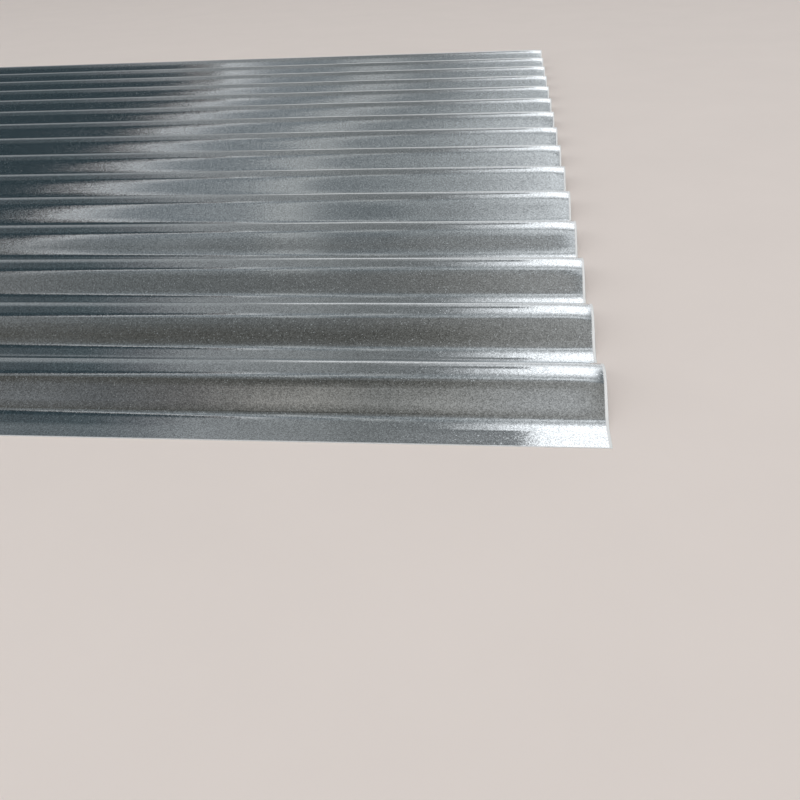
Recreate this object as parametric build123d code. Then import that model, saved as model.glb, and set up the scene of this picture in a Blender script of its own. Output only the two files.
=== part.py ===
from build123d import *
from math import asin, atan2, degrees, hypot, sqrt, tan
import os

# Corrugated roofing sheet: one strip of galvanised steel, roll-formed into round waves.
# It lies on a level floor on its valleys. X runs along the waves, Y across them, Z up.
# The origin is under the middle of the sheet, at the level of the valleys. All sizes are in mm.

# Driving dimensions
sheet_length = 2440.0
gauge = 0.5
wave_pitch = 76.0
wave_depth = 18.0
bend_radius = 20.0
crest_count = 15
near_lip_reach = 12.0
far_lip_reach = 4.0

# The middle of the steel: every bend has its radius there, and half the gauge lies on either side
middle_radius = bend_radius + gauge / 2
middle_depth = wave_depth - gauge
half_pitch = wave_pitch / 2

# Each bend runs tangent into a straight flank. The flank's angle is that of the inner tangent
# between the circles of a crest and of the next valley.
centres_apart = hypot(half_pitch, 2 * middle_radius - middle_depth)
centres_angle = atan2(2 * middle_radius - middle_depth, half_pitch)
flank_angle = asin(2 * middle_radius / centres_apart) - centres_angle
flank_length = sqrt(centres_apart**2 - (2 * middle_radius) ** 2)

# Across the sheet: the near lip runs on level past the first valley, the far lip down past the last crest
crest_and_valley_span = (2 * crest_count - 1) * half_pitch
sheet_width = near_lip_reach + crest_and_valley_span + far_lip_reach
first_valley_y = near_lip_reach - sheet_width / 2


def flank_corners():
    """The corners of the bends' tangents, from the level near lip to one valley past the far lip."""
    lip_z = gauge / 2
    lip_bend = middle_radius * tan(flank_angle / 2)
    corners = [(first_valley_y - half_pitch, lip_z), (first_valley_y + lip_bend, lip_z)]
    middle_z = wave_depth / 2
    corner_rise = half_pitch / 2 * tan(flank_angle)
    for step in range(1, 2 * crest_count + 1):
        rise = corner_rise if step % 2 else -corner_rise
        corners.append((first_valley_y + step * half_pitch, middle_z + rise))
    return corners


def wave_section():
    """The sheet's section across its waves: the bent middle line, thickened, and slit to width."""
    with BuildSketch(Plane.YZ) as section:
        with BuildLine() as middle_line:
            FilletPolyline(*flank_corners(), radius=middle_radius)
        thick_line = offset(middle_line.line, amount=gauge / 2)
        make_face(thick_line.edges())
        Rectangle(sheet_width, 3 * wave_depth, mode=Mode.INTERSECT)
    return section.sketch


def corrugated_sheet():
    """The whole sheet, sheared square at both ends."""
    return extrude(wave_section(), amount=sheet_length / 2, both=True)


sheet = corrugated_sheet()
sheet.label = "corrugated_sheet"
os.makedirs("parts", exist_ok=True)
export_step(sheet, "parts/corrugated_sheet.step")
print(f"sheet {sheet_length:.0f} x {sheet_width:.0f} x {wave_depth:.0f} mm, {crest_count} waves")
print(f"flank angle {degrees(flank_angle):.1f} degrees, straight flank {flank_length:.1f} mm")
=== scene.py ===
"""A corrugated metal sheet: a round-wave roofing sheet of galvanised steel, lying on a studio floor."""

from math import asin, atan2, cos, degrees, hypot, radians, sin, sqrt

import bmesh
import bpy
from bpy.props import FloatProperty, FloatVectorProperty, IntProperty, PointerProperty
from mathutils import Matrix, Vector, noise


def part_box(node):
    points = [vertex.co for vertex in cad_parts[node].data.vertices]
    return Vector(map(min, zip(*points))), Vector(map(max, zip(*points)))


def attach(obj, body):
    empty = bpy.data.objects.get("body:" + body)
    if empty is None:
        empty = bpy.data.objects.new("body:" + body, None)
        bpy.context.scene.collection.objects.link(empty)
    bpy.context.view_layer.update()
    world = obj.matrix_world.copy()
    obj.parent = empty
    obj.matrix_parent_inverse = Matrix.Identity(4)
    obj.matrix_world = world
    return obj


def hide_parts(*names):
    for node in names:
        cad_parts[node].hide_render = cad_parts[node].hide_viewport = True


bl_info = {
    "name": "Corrugated metal sheet",
    "version": (1, 0, 0),
    "blender": (4, 5, 0),
    "location": "3D View > Sidebar > Sheet",
    "description": "Builds a round-wave galvanised roofing sheet and a studio to show it in",
    "category": "Add Mesh",
}

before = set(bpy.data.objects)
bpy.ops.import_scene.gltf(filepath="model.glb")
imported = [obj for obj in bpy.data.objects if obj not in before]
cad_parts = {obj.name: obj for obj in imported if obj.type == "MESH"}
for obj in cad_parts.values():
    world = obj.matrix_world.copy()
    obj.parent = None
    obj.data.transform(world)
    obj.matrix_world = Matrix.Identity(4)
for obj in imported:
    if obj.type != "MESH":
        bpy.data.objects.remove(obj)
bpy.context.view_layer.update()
SHEET_LOW, SHEET_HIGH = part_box("corrugated_sheet")
MM = 0.001

# Faces turn by more than this only at a cut edge
CUT_ANGLE = radians(60)

# Shading is smooth where faces turn by less than this
SHADING_ANGLE = radians(20)

# The camera's sensor, in millimetres, as Blender wants it
SENSOR_WIDTH = 36.0

# How far from each end the sheet is divided. The shear presses the crests as far in as the last of them.
END_STATIONS = tuple(step * MM for step in (0.3, 0.8, 1.8, 3.2, 5.0, 7.5, 11.0, 15.0, 20.0))


class SheetSizes(bpy.types.PropertyGroup):
    """The sheet's real sizes"""

    length: FloatProperty(
        name="Length",
        description="Length of the sheet along its waves",
        default=SHEET_HIGH.x - SHEET_LOW.x,
        unit="LENGTH",
    )
    pitch: FloatProperty(
        name="Pitch",
        description="Distance from one crest to the next",
        default=0.076,
        unit="LENGTH",
    )
    gauge: FloatProperty(
        name="Gauge",
        description="Thickness of the steel",
        default=0.0005,
        unit="LENGTH",
    )
    bend: FloatProperty(
        name="Bend radius",
        description="Inside radius of every crest and valley",
        default=0.020,
        unit="LENGTH",
    )
    near_lip: FloatProperty(
        name="Near lip",
        description="How far the near edge runs on level past the first valley",
        default=0.012,
        unit="LENGTH",
    )
    far_lip: FloatProperty(
        name="Far lip",
        description="How far the far edge reaches past the last crest",
        default=0.004,
        unit="LENGTH",
    )
    crests: IntProperty(
        name="Crests",
        description="Number of crests across the sheet",
        default=15,
        min=1,
    )
    arc_steps: IntProperty(
        name="Arc steps",
        description="Faces round each half of a bend",
        default=7,
        min=2,
    )
    flank_hold: FloatProperty(
        name="Flank hold",
        description="Width of the face at each end of a flank that keeps its shading flat",
        default=0.005,
        unit="LENGTH",
    )
    lip_steps: IntProperty(
        name="Lip steps",
        description="Faces across the level near lip",
        default=4,
        min=1,
    )
    long_steps: IntProperty(
        name="Long steps",
        description="Faces along the sheet between its two sheared ends",
        default=64,
        min=2,
    )
    pressed: FloatProperty(
        name="Pressed",
        description="How far the shear presses the crests down at the very end",
        default=0.0011,
        unit="LENGTH",
    )
    worn: FloatProperty(
        name="Worn",
        description="How far the crests are worn at most",
        default=0.0001,
        unit="LENGTH",
    )
    wander: FloatProperty(
        name="Wander",
        description="How far the flanks wander from straight at most",
        default=0.00025,
        unit="LENGTH",
    )
    edge_round: FloatProperty(
        name="Edge rounding",
        description="Width of the rounding on every cut edge",
        default=0.00013,
        unit="LENGTH",
    )


class SheetFinish(bpy.types.PropertyGroup):
    """The zinc coating and the cut edges"""

    zinc: FloatVectorProperty(
        name="Zinc",
        description="Colour of the zinc coating",
        default=(0.63, 0.66, 0.68),
        subtype="COLOR",
        min=0,
        max=1,
    )
    cut_steel: FloatVectorProperty(
        name="Cut steel",
        description="Colour of the sheared edge",
        default=(0.70, 0.70, 0.69),
        subtype="COLOR",
        min=0,
        max=1,
    )
    # The burr's pale colour is partly a painted highlight, standing in for the cut edges' glint
    burr_and_glint: FloatVectorProperty(
        name="Burr",
        description="Colour of the rough burr along the cut edges",
        default=(0.86, 0.87, 0.87),
        subtype="COLOR",
        min=0,
        max=1,
    )
    spangle: FloatProperty(
        name="Spangle",
        description="Width of one zinc crystal",
        default=0.0005,
        unit="LENGTH",
    )
    gloss: FloatProperty(
        name="Roughness",
        description="Roughness of the zinc between its crystals' own differences",
        default=0.065,
        min=0,
        max=1,
        subtype="FACTOR",
    )


class StageLook(bpy.types.PropertyGroup):
    """The camera, the floor and the soft light"""

    eye: FloatVectorProperty(
        name="Camera",
        description="Where the camera stands",
        default=(1.1665, -0.8865, 0.2309),
        subtype="TRANSLATION",
    )
    turn: FloatProperty(
        name="Turn",
        description="How far the camera turns from the direction across the waves",
        default=radians(7.37),
        subtype="ANGLE",
    )
    dip: FloatProperty(
        name="Dip",
        description="How far the camera looks down",
        default=radians(31.73),
        subtype="ANGLE",
    )
    roll: FloatProperty(
        name="Roll",
        description="How far the camera is rolled",
        default=radians(-3.04),
        subtype="ANGLE",
    )
    lens: FloatProperty(
        name="Lens",
        description="Focal length on a 36 mm wide sensor, in millimetres",
        default=36.0,
    )
    shift: FloatProperty(
        name="Shift",
        description="How far the picture is off the lens's centre, as a share of its width",
        default=-0.02,
    )
    floor: FloatVectorProperty(
        name="Floor",
        description="Colour of the studio floor",
        default=(0.84, 0.76, 0.715),
        subtype="COLOR",
        min=0,
        max=1,
    )
    floor_size: FloatProperty(
        name="Floor size",
        description="Side of the square floor",
        default=120.0,
        unit="LENGTH",
    )
    lamp: FloatProperty(
        name="Lamp",
        description="Power of the soft lamp",
        default=135.0,
        unit="POWER",
    )
    lamp_size: FloatProperty(
        name="Lamp size",
        description="Side of the square soft lamp",
        default=6.0,
        unit="LENGTH",
    )
    lamp_side: FloatVectorProperty(
        name="Lamp side",
        description="The direction in which the soft lamp stands",
        default=(0.25, -0.65, 0.70),
        subtype="XYZ",
    )
    lamp_distance: FloatProperty(
        name="Lamp distance",
        description="How far the soft lamp stands from what it is aimed at",
        default=6.0,
        unit="LENGTH",
    )
    lamp_aim: FloatVectorProperty(
        name="Lamp aim",
        description="The point that the soft lamp is aimed at",
        default=(1.0, 0.0, 0.0),
        subtype="TRANSLATION",
    )


# Shader graphs


class Value:
    """A number in a shader graph. Arithmetic on it adds Math nodes."""

    def __init__(self, graph, socket):
        self.graph, self.socket = graph, socket

    def math(self, operation, *numbers):
        """The outcome of a Math node."""
        inputs = dict(enumerate(numbers))
        node = self.graph.node("ShaderNodeMath", {"operation": operation}, inputs)
        return Value(self.graph, node.outputs[0])

    def __add__(self, other):
        return self.math("ADD", self, other)

    def __sub__(self, other):
        return self.math("SUBTRACT", self, other)

    def __rsub__(self, other):
        return self.math("SUBTRACT", other, self)

    def __mul__(self, other):
        return self.math("MULTIPLY", self, other)

    def __truediv__(self, other):
        return self.math("DIVIDE", self, other)

    __radd__ = __add__

    def size(self):
        """How far the number is from zero."""
        return self.math("ABSOLUTE", self)

    def smooth(self, start, end, low=0.0, high=1.0):
        """Low before start, high past end, and a smooth step between them."""
        inputs = {"Value": self, 1: start, 2: end, 3: low, 4: high}
        settings = {"interpolation_type": "SMOOTHSTEP"}
        node = self.graph.node("ShaderNodeMapRange", settings, inputs)
        return Value(self.graph, node.outputs["Result"])

    def band(self, middle, half_width, soft):
        """One inside the band round middle, and zero past its soft sides."""
        away = (self - middle).size()
        return away.smooth(half_width - soft, half_width + soft, 1.0, 0.0)


class Graph:
    """Adds nodes to one node tree."""

    def __init__(self, tree):
        self.tree = tree
        tree.nodes.clear()

    def node(self, kind, settings=None, inputs=None):
        """A new node of this kind: its settings first, then its sockets' values or links."""
        node = self.tree.nodes.new(kind)
        for name, value in (settings or {}).items():
            if name == "stops":
                self.set_stops(node.color_ramp, value)
            else:
                setattr(node, name, value)
        for name, value in (inputs or {}).items():
            value = value.socket if isinstance(value, Value) else value
            if isinstance(value, bpy.types.NodeSocket):
                self.tree.links.new(value, node.inputs[name])
            else:
                node.inputs[name].default_value = value
        return node

    def set_stops(self, ramp, stops):
        """Gives a colour ramp its places and colours."""
        while len(ramp.elements) < len(stops):
            ramp.elements.new(1.0)
        for element, (place, colour) in zip(ramp.elements, stops, strict=True):
            element.position = place
            element.color = (*colour, 1.0)

    def vector(self, operation, *inputs):
        """The outcome of a Vector Math node."""
        node = self.node("ShaderNodeVectorMath", {"operation": operation}, dict(enumerate(inputs)))
        return node.outputs[0]

    def scaled(self, vector, scale):
        """A vector or colour times a number."""
        node = self.node("ShaderNodeVectorMath", {"operation": "SCALE"}, {0: vector, "Scale": scale})
        return node.outputs[0]

    def mix(self, factor, low, high, blend="MIX"):
        """Two colours, mixed by a factor."""
        settings = {"data_type": "RGBA", "blend_type": blend, "clamp_factor": True}
        low = (*low, 1.0) if isinstance(low, tuple) else low
        high = (*high, 1.0) if isinstance(high, tuple) else high
        return self.node("ShaderNodeMix", settings, {0: factor, 6: low, 7: high}).outputs[2]

    def noise(self, vector, scale, detail, roughness):
        """Cloudy noise, mostly between 0.3 and 0.7."""
        inputs = {"Vector": vector, "Scale": scale, "Detail": detail, "Roughness": roughness}
        return Value(self, self.node("ShaderNodeTexNoise", None, inputs).outputs["Fac"])

    def bump(self, height, distance, normal):
        """A normal that follows a height, laid over another normal."""
        inputs = {"Strength": 1.0, "Distance": distance, "Height": height, "Normal": normal}
        return self.node("ShaderNodeBump", None, inputs).outputs[0]

    def parts(self, vector):
        """The three numbers of a vector."""
        outputs = self.node("ShaderNodeSeparateXYZ", None, {0: vector}).outputs
        return [Value(self, output) for output in outputs]


def in_millimetres(graph):
    """The place on the piece, in mm."""
    return graph.scaled(graph.node("ShaderNodeTexCoord").outputs["Object"], 1 / MM)


def new_material(name):
    """An empty material and its graph."""
    material = bpy.data.materials.new(name)
    material.use_nodes = True
    return material, Graph(material.node_tree)


def finish_material(graph, settings):
    """Ends a material's graph in a Principled shader with these inputs."""
    shader = graph.node("ShaderNodeBsdfPrincipled", None, settings)
    graph.node("ShaderNodeOutputMaterial", None, {"Surface": shader.outputs[0]})


def galvanised_steel(finish):
    """Bright zinc: fine crystals, a few painted brighter as a painted glint, roll lines along the waves,
    a grain across them, and a pale burr that is partly painted highlight.
    """
    material, graph = new_material("galvanised_steel")
    place = in_millimetres(graph)
    cells = graph.node(
        "ShaderNodeTexVoronoi",
        {"voronoi_dimensions": "3D", "feature": "F1"},
        {"Vector": place, "Scale": MM / finish.spangle, "Randomness": 1.0},
    )
    shade, glint, _ = graph.parts(cells.outputs["Color"])

    # Clouds about 90 mm wide, mottle of 7 mm, roll lines 3 mm apart, and grain 22 mm long and 1 mm wide
    cloud = graph.noise(place, 0.011, 3.0, 0.55)
    mottle = graph.noise(place, 0.14, 3.0, 0.6)
    along = graph.vector("MULTIPLY", place, (0.0022, 0.33, 0.33))
    roll_lines = graph.noise(along, 1.0, 3.0, 0.6)
    across = graph.vector("MULTIPLY", place, (1.1, 0.045, 0.045))
    grain = graph.noise(across, 1.0, 3.0, 0.65)

    # Each crystal leans its own way, and a few lean far enough to glint; those few are also painted
    # brighter, a painted glint
    far_lean_painted_glint = glint.smooth(0.968, 0.985)
    own_way = graph.vector("SUBTRACT", cells.outputs["Color"], (0.5, 0.5, 0.5))
    lean = graph.scaled(own_way, far_lean_painted_glint * 0.07 + 0.011)
    surface = graph.node("ShaderNodeNewGeometry").outputs["Normal"]
    leaning = graph.vector("NORMALIZE", graph.vector("ADD", surface, lean))

    # The sheet isn't quite even: broad sways of 30 to 80 mm, and the rolls' fine lines
    sway = graph.noise(graph.vector("MULTIPLY", place, (0.012, 0.03, 0.03)), 1.0, 2.0, 0.5)
    swayed = graph.bump(sway, 0.12 * MM, leaning)
    rolled = graph.bump(roll_lines, 0.01 * MM, swayed)

    # The far-leaning crystals' colour is raised: a painted glint on top of the zinc's random tone
    tone = 0.665 + shade * 0.70 + far_lean_painted_glint * 0.7
    tone = tone + (cloud - 0.5) * 0.10 + (grain - 0.5) * 0.16
    tone = tone + (mottle - 0.5) * 0.10 + (roll_lines - 0.5) * 0.10
    tone = tone.math("MINIMUM", tone, 1.45)
    rough = finish.gloss + far_lean_painted_glint * 0.15 + (shade - 0.5) * 0.05
    rough = rough + (cloud - 0.5) * 0.06 + (grain - 0.5) * 0.05

    # The shear and the slitter leave a narrow rough burr; its pale matt colour is partly a painted
    # highlight for its glints
    x, y, _ = graph.parts(place)
    from_end = SHEET_HIGH.x / MM - x.size()
    from_side = SHEET_HIGH.y / MM - y.size()
    ragged = (grain - 0.5) * 1.2
    burr_and_glint = (from_end + ragged).smooth(1.2, 2.0, 1.0, 0.0)
    burr_and_glint = burr_and_glint.math("MAXIMUM", burr_and_glint, from_side.smooth(0.4, 0.8, 1.0, 0.0))
    # The pale, barely metallic strip is real burr and painted highlight together
    colour = graph.mix(burr_and_glint, graph.scaled((*finish.zinc,), tone), (*finish.burr_and_glint,))
    metallic, rough = 1.0 - burr_and_glint * 0.8, rough + burr_and_glint * 0.4
    settings = {"Base Color": colour, "Metallic": metallic, "Roughness": rough, "Normal": rolled}
    finish_material(graph, settings)
    return material


def sheared_steel(finish):
    """The bare cut edge: bright steel with the shear's fine upright scores."""
    material, graph = new_material("sheared_steel")
    stretched = graph.vector("MULTIPLY", in_millimetres(graph), (3.0, 3.0, 0.4))
    scores = graph.noise(stretched, 1.0, 2.0, 0.6)
    colour = graph.scaled((*finish.cut_steel,), 0.8 + scores * 0.4)
    settings = {"Base Color": colour, "Metallic": 1.0, "Roughness": 0.25 + scores * 0.25}
    finish_material(graph, settings)
    return material


# The sheet


def wave_section(sizes, low, depth):
    """The underside's line across the waves: arc, flank and arc, mirrored and repeated, and the lip."""
    middle_radius = sizes.bend + sizes.gauge / 2
    middle_depth = depth - sizes.gauge
    half_pitch = sizes.pitch / 2
    rise = 2 * middle_radius - middle_depth
    apart = hypot(half_pitch, rise)
    slope = asin(2 * middle_radius / apart) - atan2(rise, half_pitch)
    flank = sqrt(apart**2 - (2 * middle_radius) ** 2)

    bm = bmesh.new()
    valley_radius = middle_radius + sizes.gauge / 2
    crest_radius = middle_radius - sizes.gauge / 2
    valley_bottom = bm.verts.new((0, 0, low.z))
    valley_centre = (0, 0, low.z + valley_radius)
    crest_centre = (0, half_pitch, low.z + middle_depth - crest_radius)
    turn = {"axis": (1, 0, 0), "steps": sizes.arc_steps, "angle": slope}
    arc = bmesh.ops.spin(bm, geom=[valley_bottom], cent=valley_centre, **turn)
    end = arc["geom_last"]
    uphill = Vector((0, cos(slope), sin(slope)))
    for reach in (sizes.flank_hold, flank - 2 * sizes.flank_hold, sizes.flank_hold):
        end = bmesh.ops.extrude_vert_indiv(bm, verts=end)["verts"]
        bmesh.ops.translate(bm, verts=end, vec=uphill * reach)
    turn["angle"] = -slope
    bmesh.ops.spin(bm, geom=end, cent=crest_centre, **turn)
    half_wave = bm.verts[:] + bm.edges[:]
    bmesh.ops.mirror(bm, geom=half_wave, matrix=Matrix.Identity(4), merge_dist=MM / 100, axis="Y")
    one_wave = bm.verts[:] + bm.edges[:]
    for number in range(1, sizes.crests + 1):
        copy = bmesh.ops.duplicate(bm, geom=one_wave)["geom"]
        new = [part for part in copy if isinstance(part, bmesh.types.BMVert)]
        bmesh.ops.translate(bm, verts=new, vec=(0, number * sizes.pitch, 0))
    bmesh.ops.remove_doubles(bm, verts=bm.verts[:], dist=MM / 20)

    # The near lip: the first valley's near half gives way to a level strip
    trim(bm, (0, 0, 0), (0, -1, 0))
    nearest = min(bm.verts, key=lambda vert: vert.co.y)
    lip = bmesh.ops.extrude_vert_indiv(bm, verts=[nearest])
    bmesh.ops.translate(bm, verts=lip["verts"], vec=(0, -sizes.near_lip, 0))
    bmesh.ops.subdivide_edges(bm, edges=lip["edges"], cuts=sizes.lip_steps - 1)
    bmesh.ops.translate(bm, verts=bm.verts[:], vec=(low.x, low.y + sizes.near_lip, 0))
    return bm


def trim(bm, place, outwards):
    """Cuts away what lies beyond a plane across the sheet."""
    plane = {"plane_co": place, "plane_no": outwards, "dist": MM / 1000}
    bmesh.ops.bisect_plane(bm, geom=bm.verts[:] + bm.edges[:], clear_outer=True, **plane)


def long_stations(sizes, low):
    """Where the sheet is divided along its waves: evenly in the middle, finely at the sheared ends."""
    first, last = END_STATIONS[-1], sizes.length - END_STATIONS[-1]
    even = [first + (last - first) * step / sizes.long_steps for step in range(1, sizes.long_steps)]
    far_end = [sizes.length - step for step in reversed(END_STATIONS)]
    return [low.x + station for station in (*END_STATIONS, *even, *far_end, sizes.length)]


def uneven(place, along, across, layer):
    """Smooth noise from -1 to 1 over the sheet. Its lumps are 1/along by 1/across metres."""
    return noise.noise(Vector((place.x * along, place.y * across, layer)))


def shear_and_handle(bm, sizes, low, high):
    """Marks of making: crests pressed down by the shear and worn, and flanks not quite straight."""
    middle, half_depth = (low.z + high.z) / 2, (high.z - low.z) / 2
    for vert in bm.verts:
        height = (vert.co.z - middle) / half_depth
        from_end = min(vert.co.x - low.x, high.x - vert.co.x)
        pressed = max(0.0, 1 - from_end / END_STATIONS[-1]) ** 2 * sizes.pressed
        worn = 0.5 + 0.5 * uneven(vert.co, 9, 17, 3.1)
        vert.co.z -= (0.5 + 0.5 * height) * (pressed + sizes.worn * worn)
        sway = uneven(vert.co, 4, 9, 8.4)
        vert.co.y += sizes.wander * sway * (1 - min(1.0, abs(height)) ** 2)


class MESH_OT_add_corrugated_sheet(bpy.types.Operator):
    """Add the round-wave sheet, thickened to its gauge, with sheared and slit edges"""

    bl_idname = "mesh.add_corrugated_sheet"
    bl_label = "Corrugated sheet"
    bl_options = {"REGISTER", "UNDO"}

    def execute(self, context):
        sizes, finish = context.scene.sheet_sizes, context.scene.sheet_finish
        low, high = SHEET_LOW, SHEET_HIGH
        bm = wave_section(sizes, low, high.z - low.z)
        trim(bm, (0, high.y, 0), (0, 1, 0))

        line, at = bm.edges[:], low.x
        for station in long_stations(sizes, low):
            strip = bmesh.ops.extrude_edge_only(bm, edges=line)["geom"]
            moved = {part for part in strip if isinstance(part, bmesh.types.BMVert)}
            bmesh.ops.translate(bm, verts=list(moved), vec=(station - at, 0, 0))
            edges = [part for part in strip if isinstance(part, bmesh.types.BMEdge)]
            line = [edge for edge in edges if moved.issuperset(edge.verts)]
            at = station

        # The underside faces down, and the steel is thickened upwards from it
        bmesh.ops.recalc_face_normals(bm, faces=bm.faces[:])
        if sum(face.normal.z for face in bm.faces) > 0:
            bmesh.ops.reverse_faces(bm, faces=bm.faces[:])
        shear_and_handle(bm, sizes, low, high)
        bm.normal_update()
        bmesh.ops.solidify(bm, geom=bm.faces[:], thickness=sizes.gauge)
        for vert in bm.verts:
            vert.co.x = min(max(vert.co.x, low.x), high.x)
            vert.co.y = min(max(vert.co.y, low.y), high.y)
        bm.normal_update()

        # Round every cut edge, in the second material
        rim = [edge for edge in bm.edges if edge.calc_face_angle(0.0) > CUT_ANGLE]
        bevel = {"affect": "EDGES", "offset_type": "OFFSET", "segments": 2, "profile": 0.5}
        bmesh.ops.bevel(bm, geom=rim, offset=sizes.edge_round, material=1, **bevel)
        for face in bm.faces:
            face.smooth = True
        for edge in bm.edges:
            edge.smooth = edge.calc_face_angle(0.0) < SHADING_ANGLE

        mesh = bpy.data.meshes.new("corrugated_sheet_surface")
        bm.to_mesh(mesh)
        bm.free()
        mesh.materials.append(galvanised_steel(finish))
        mesh.materials.append(sheared_steel(finish))
        sheet = bpy.data.objects.new("sheet_surface", mesh)
        context.collection.objects.link(sheet)
        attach(sheet, "root")
        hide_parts("corrugated_sheet")
        return {"FINISHED"}


# The studio


def soft_surroundings(world):
    """Soft panels all round, by direction. Side is how far to the right, and tilt how far up and over."""
    world.use_nodes = True
    graph = Graph(world.node_tree)
    direction = graph.node("ShaderNodeTexCoord").outputs["Generated"]
    x, y, z = graph.parts(direction)
    side = x.math("ARCSINE", x) * degrees(1)
    tilt = z.math("ARCTAN2", z.math("MAXIMUM", z, 0.0), y) * degrees(1)

    def greys(value, start, end, *stops):
        """A ramp of tones over a range of degrees."""
        tones = [tone if isinstance(tone, tuple) else (tone,) * 3 for _, tone in stops]
        places = [(place - start) / (end - start) for place, _ in stops]
        spread = list(zip(places, tones, strict=True))
        factor = (value - start) / (end - start)
        return graph.node("ShaderNodeValToRGB", {"stops": spread}, {"Fac": factor}).outputs["Color"]

    # Overhead: a dark left side, a pale strip along it, and a grey ceiling. They slant, and the ramp's
    # places are those at a tilt of ceiling_middle. Forward of ceiling_front they run straight.
    ceiling_front, ceiling_middle = 78.3, 84.0
    held = tilt.math("MAXIMUM", tilt, ceiling_front)
    slant = side + (held - ceiling_middle) * 1.25
    overhead = greys(
        slant,
        -40,
        20,
        (-32, (0.045, 0.066, 0.076)),
        (-28.4, (0.056, 0.077, 0.088)),
        (-27.8, (0.21, 0.20, 0.20)),
        (-26.3, (0.23, 0.225, 0.225)),
        (-25.6, (0.66, 0.665, 0.665)),
        (-24.8, (0.66, 0.665, 0.665)),
        (-22.8, (0.32, 0.34, 0.355)),
        (-20, (0.24, 0.265, 0.28)),
        (-16, (0.33, 0.35, 0.36)),
        (-11, (0.265, 0.285, 0.295)),
        (-6, (0.36, 0.38, 0.385)),
        (-3.5, (0.36, 0.38, 0.385)),
        (0, (0.29, 0.305, 0.31)),
        (9, (0.28, 0.295, 0.30)),
        (14, (0.16, 0.18, 0.19)),
    )

    # In the ceiling: a shaded patch, and a second pale strip that fades towards the camera
    shaded = side.band(-9.7, 2.8, 1.8) * tilt.smooth(84.3, 86.8)
    overhead = graph.mix(shaded, overhead, (0.21, 0.23, 0.24))
    gleam = side + (held.math("MINIMUM", held, 85.0) - ceiling_middle)
    gleam = gleam.band(-14.4, 1.7, 1.5) * tilt.smooth(86, 96, 1.0, 0.3)
    overhead = graph.mix(gleam * 0.85, overhead, (0.50, 0.51, 0.505))

    # In front: a grey wall with a dark left side, and three paler panels low down
    daylight = (1.25, 1.25, 1.25)
    front = greys(
        side,
        -60,
        60,
        (-60, (0.3, 0.32, 0.33)),
        (-32, (0.085, 0.105, 0.115)),
        (-28.5, (0.095, 0.12, 0.13)),
        (-25.0, (0.18, 0.19, 0.20)),
        (-22.0, (0.30, 0.31, 0.315)),
        (-14, (0.30, 0.31, 0.31)),
        (-10, (0.23, 0.24, 0.24)),
        (10, (0.26, 0.27, 0.28)),
        (14, (0.16, 0.18, 0.19)),
        (30, (0.25, 0.26, 0.27)),
        (50, (0.6, 0.6, 0.6)),
    )
    low = tilt.smooth(22, 44, 1.0, 0.0) * side.smooth(-22, -16, 1.0, 0.0)
    pale = graph.mix(side.smooth(-28, -20), (0.28, 0.30, 0.31), (0.36, 0.375, 0.38))
    front = graph.mix(low, front, pale)
    low = tilt.smooth(8, 22, 1.0, 0.0) * side.smooth(-20, -13)
    front = graph.mix(low * 0.52, front, daylight)
    low = tilt.smooth(24, 40, 1.0, 0.0) * side.smooth(-12, -1)
    front = graph.mix(low * 0.22, front, daylight)

    # Behind: grey, then a brown band, then a beige wall, up to where the bright rear begins
    behind = greys(
        side,
        -60,
        60,
        (-60, (0.5, 0.5, 0.5)),
        (-34, (0.21, 0.215, 0.215)),
        (-27, (0.16, 0.17, 0.17)),
        (-10, (0.18, 0.182, 0.177)),
        (-3, (0.23, 0.228, 0.218)),
        (20, (0.26, 0.255, 0.24)),
        (50, (0.6, 0.6, 0.6)),
    )
    brown = graph.mix(side.smooth(-11, 0), (0.11, 0.108, 0.098), (0.185, 0.18, 0.165))
    behind = graph.mix(tilt.smooth(94, 96.5), behind, brown)
    wall = greys(
        side,
        -40,
        20,
        (-31, (0.215, 0.22, 0.225)),
        (-27.5, (0.155, 0.16, 0.165)),
        (-22, (0.21, 0.20, 0.195)),
        (-17, (0.38, 0.36, 0.335)),
        (-13, (0.43, 0.41, 0.38)),
        (-9, (0.32, 0.315, 0.30)),
        (-4, (0.43, 0.42, 0.40)),
        (2, (0.40, 0.40, 0.395)),
    )
    behind = graph.mix(tilt.smooth(97.5, 102), behind, wall)

    # A bright opening on the right, with a dark beam across its left side, dimmer over the ceiling
    beam = tilt.band(37.5, 6.5, 3.0) * side.smooth(0.9, 2.6, 1.0, 0.0)
    window = (side - tilt.smooth(20, 46, 0.0, 1.4)).smooth(-7.5, 4.5) * side.smooth(10.5, 14, 1.0, 0.0)
    top = tilt.smooth(60, 80, 1.0, 0.0)
    rest = tilt.smooth(80.3, 81.7, 0.19, 0.40) * tilt.smooth(86.8, 88.8, 1.0, 0.24)
    window = window * tilt.smooth(10, 42) * (rest + (1.0 - rest) * top) * (1.0 - beam)

    # All of it together, with the rear bright high up and near the floor's tone at the horizon
    horizon = (0.50, 0.475, 0.455)
    colour = graph.mix(tilt.smooth(68, 79), front, overhead)
    colour = graph.mix(tilt.smooth(87, 92), colour, behind)
    colour = graph.mix(window, colour, (1.4, 1.4, 1.41), "ADD")
    colour = graph.mix(tilt.smooth(106, 119), colour, (1.0, 1.0, 1.0))
    colour = graph.mix(tilt.smooth(150, 170), colour, (0.72, 0.71, 0.70))
    colour = graph.mix(tilt.smooth(168, 180), colour, horizon)

    # Far out to either side: a soft wall, bright low down and grey above
    height = z.math("ARCSINE", z) * degrees(1)
    wings = greys(
        height,
        0,
        90,
        (0, horizon),
        (4, 0.62),
        (10, 0.78),
        (20, 0.66),
        (34, 0.28),
        (55, 0.36),
        (90, 0.5),
    )
    colour = graph.mix(side.size().smooth(52, 64), colour, wings)

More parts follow.
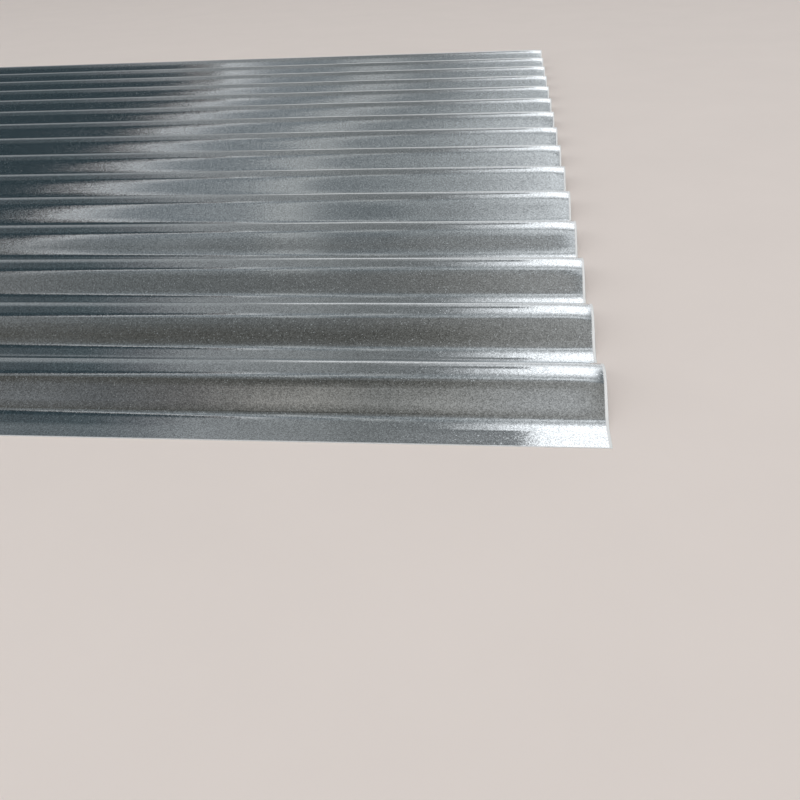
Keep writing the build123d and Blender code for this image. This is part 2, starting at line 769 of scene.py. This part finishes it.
    # Below the horizon: the floor's tone
    colour = graph.mix(z.smooth(-0.02, 0.0), (0.57, 0.535, 0.515), colour)
    background = graph.node("ShaderNodeBackground", None, {"Color": colour, "Strength": 1.0})
    graph.node("ShaderNodeOutputWorld", None, {"Surface": background.outputs[0]})


def floor_paint(colour):
    """A plain matt floor with the faintest unevenness."""
    material, graph = new_material("studio_floor")
    place = graph.node("ShaderNodeTexCoord").outputs["Object"]
    tone = 0.97 + graph.noise(place, 9.0, 5.0, 0.6) * 0.06
    settings = {"Base Color": graph.scaled((*colour,), tone), "Roughness": 0.85}
    finish_material(graph, settings)
    return material


class SCENE_OT_set_sheet_stage(bpy.types.Operator):
    """Set the floor, the soft light and the camera"""

    bl_idname = "scene.set_sheet_stage"
    bl_label = "Studio"
    bl_options = {"REGISTER", "UNDO"}

    def execute(self, context):
        look = context.scene.stage_look
        bm = bmesh.new()
        bmesh.ops.create_grid(bm, x_segments=1, y_segments=1, size=look.floor_size / 2)
        mesh = bpy.data.meshes.new("studio_floor")
        bm.to_mesh(mesh)
        bm.free()
        mesh.materials.append(floor_paint(look.floor))
        floor = bpy.data.objects.new("studio_floor", mesh)
        context.collection.objects.link(floor)

        world = bpy.data.worlds.new("studio")
        soft_surroundings(world)
        context.scene.world = world

        lamp = bpy.data.lights.new("soft_lamp", "AREA")
        lamp.shape, lamp.size, lamp.energy = "SQUARE", look.lamp_size, look.lamp
        holder = bpy.data.objects.new("soft_lamp", lamp)
        towards_lamp = Vector(look.lamp_side).normalized()
        holder.location = Vector(look.lamp_aim) + towards_lamp * look.lamp_distance
        holder.rotation_euler = towards_lamp.to_track_quat("Z", "Y").to_euler()
        holder.visible_glossy = False
        context.collection.objects.link(holder)

        camera = bpy.data.objects.new("camera", bpy.data.cameras.new("camera"))
        camera.data.lens, camera.data.sensor_width = look.lens, SENSOR_WIDTH
        camera.data.shift_x, camera.data.clip_start = look.shift, 10 * MM
        turned = Matrix.Rotation(look.turn, 4, "Z") @ Matrix.Rotation(radians(90) - look.dip, 4, "X")
        camera.matrix_world = Matrix.Translation(look.eye) @ turned @ Matrix.Rotation(look.roll, 4, "Z")
        context.collection.objects.link(camera)
        context.scene.camera = camera
        context.scene.view_settings.view_transform = "Standard"
        return {"FINISHED"}


class VIEW3D_PT_corrugated_sheet(bpy.types.Panel):
    """The sheet's sizes, its finish and its stage"""

    bl_label = "Corrugated sheet"
    bl_idname = "VIEW3D_PT_corrugated_sheet"
    bl_space_type = "VIEW_3D"
    bl_region_type = "UI"
    bl_category = "Sheet"

    def draw(self, context):
        groups = (
            (MESH_OT_add_corrugated_sheet, context.scene.sheet_sizes),
            (None, context.scene.sheet_finish),
            (SCENE_OT_set_sheet_stage, context.scene.stage_look),
        )
        for operator, settings in groups:
            column = self.layout.column()
            for name in settings.__annotations__:
                column.prop(settings, name)
            if operator:
                column.operator(operator.bl_idname)


CLASSES = (
    SheetSizes,
    SheetFinish,
    StageLook,
    MESH_OT_add_corrugated_sheet,
    SCENE_OT_set_sheet_stage,
    VIEW3D_PT_corrugated_sheet,
)


def register():
    for cls in CLASSES:
        bpy.utils.register_class(cls)
    bpy.types.Scene.sheet_sizes = PointerProperty(type=SheetSizes)
    bpy.types.Scene.sheet_finish = PointerProperty(type=SheetFinish)
    bpy.types.Scene.stage_look = PointerProperty(type=StageLook)


def unregister():
    del bpy.types.Scene.stage_look
    del bpy.types.Scene.sheet_finish
    del bpy.types.Scene.sheet_sizes
    for cls in reversed(CLASSES):
        bpy.utils.unregister_class(cls)


def main():
    register()
    bpy.ops.scene.set_sheet_stage()
    bpy.ops.mesh.add_corrugated_sheet()


if __name__ == "__main__":
    main()
